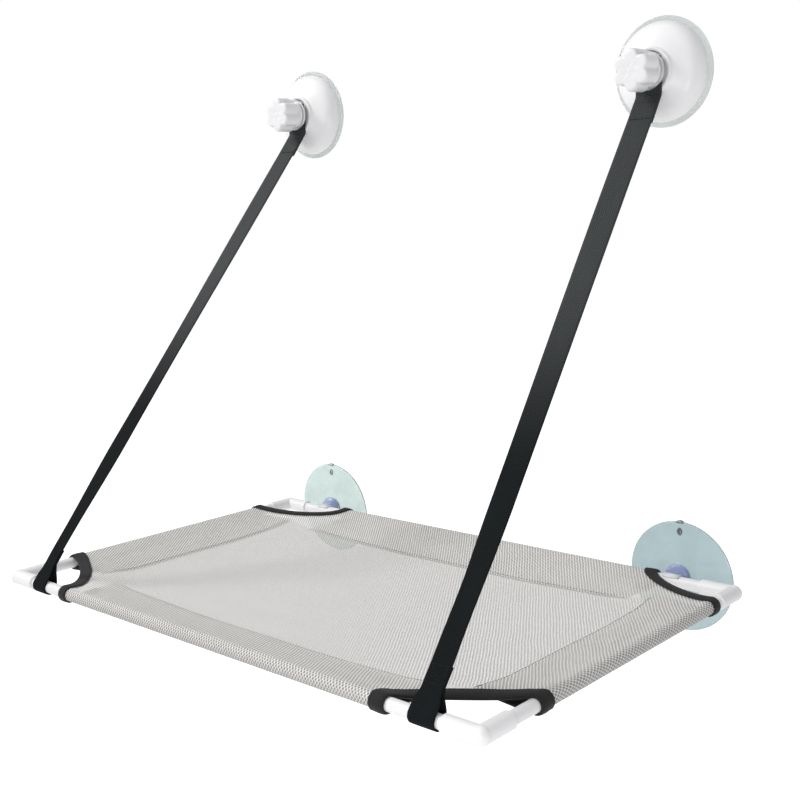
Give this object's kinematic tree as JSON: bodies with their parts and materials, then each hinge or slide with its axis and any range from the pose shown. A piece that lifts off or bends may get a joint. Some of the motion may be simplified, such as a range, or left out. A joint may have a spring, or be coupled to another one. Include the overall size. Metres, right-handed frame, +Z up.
{
  "type": "window mounted cat perch",
  "caption": "Mesh sling on a tube frame, hung from webbing straps on screw suction mounts and gripped at the glass by clip suction mounts; it folds up against the pane.",
  "frame": {"origin": "on the window plane, midway between the centres of the two lower suction cups", "axes": "+X along the window to the right as seen from the room, +Y into the glass, +Z up"},
  "size_m": [0.5504, 0.3597, 0.514],
  "materials": {
    "white_plastic": "glossy moulded",
    "tube_coat": "smooth satin coat",
    "mesh": "open plastic-coated weave",
    "webbing": "ribbed webbing",
    "tape": "ribbed binding tape",
    "clear_cup": "clear soft moulded",
    "clip_plastic": "tinted translucent",
    "steel": "zinc plated",
    "insert_metal": "turned"
  },
  "bodies": {
    "mounts": {"left_strap": "webbing", "right_strap": "webbing", "upper_left_cup": "clear_cup", "upper_right_cup": "clear_cup", "upper_left_stud": "steel", "upper_right_stud": "steel", "upper_left_cover": "white_plastic", "upper_right_cover": "white_plastic", "lower_left_cup": "clear_cup", "lower_right_cup": "clear_cup", "lower_left_clip": "clip_plastic", "lower_right_clip": "clip_plastic"},
    "frame": {"front_tube": "tube_coat", "back_tube": "tube_coat", "left_tube": "tube_coat", "right_tube": "tube_coat", "front_left_elbow": "white_plastic", "front_right_elbow": "white_plastic", "back_left_elbow": "white_plastic", "back_right_elbow": "white_plastic", "sling_panel": "mesh", "front_sleeve": "mesh", "back_sleeve": "mesh", "left_sleeve": "mesh", "right_sleeve": "mesh", "front_left_binding": "tape", "front_right_binding": "tape", "back_left_binding": "tape", "back_right_binding": "tape", "left_strap_loop": "webbing", "right_strap_loop": "webbing"},
    "left_washer": {"upper_left_washer": "steel"},
    "left_knob": {"upper_left_knob": "white_plastic", "upper_left_insert": "insert_metal"},
    "right_washer": {"upper_right_washer": "steel"},
    "right_knob": {"upper_right_knob": "white_plastic", "upper_right_insert": "insert_metal"}
  },
  "joints": [
    {"name": "fold", "type": "hinge", "parent": "mounts", "child": "frame", "pos_m": [0, -0.0165, 0], "axis": [-1, 0, 0], "range_deg": [0, 80], "deforming": ["left_strap", "right_strap"]},
    {"name": "left_washer_slide", "type": "slide", "parent": "mounts", "child": "left_washer", "axis": [0, -1, 0], "range_m": [0, 0.0025]},
    {"name": "left_knob_turn", "type": "hinge", "parent": "left_washer", "child": "left_knob", "pos_m": [-0.203, -0.0343, 0.422], "axis": [0, -1, 0], "range_deg": [0, 720]},
    {"name": "right_washer_slide", "type": "slide", "parent": "mounts", "child": "right_washer", "axis": [0, -1, 0], "range_m": [0, 0.0025]},
    {"name": "right_knob_turn", "type": "hinge", "parent": "right_washer", "child": "right_knob", "pos_m": [0.203, -0.0343, 0.422], "axis": [0, -1, 0], "range_deg": [0, 720]}
  ],
  "couplings": [
    {"joint": "left_knob_turn", "follows": "left_washer_slide", "rad_per_m": 5026.5},
    {"joint": "right_knob_turn", "follows": "right_washer_slide", "rad_per_m": 5026.5}
  ]
}
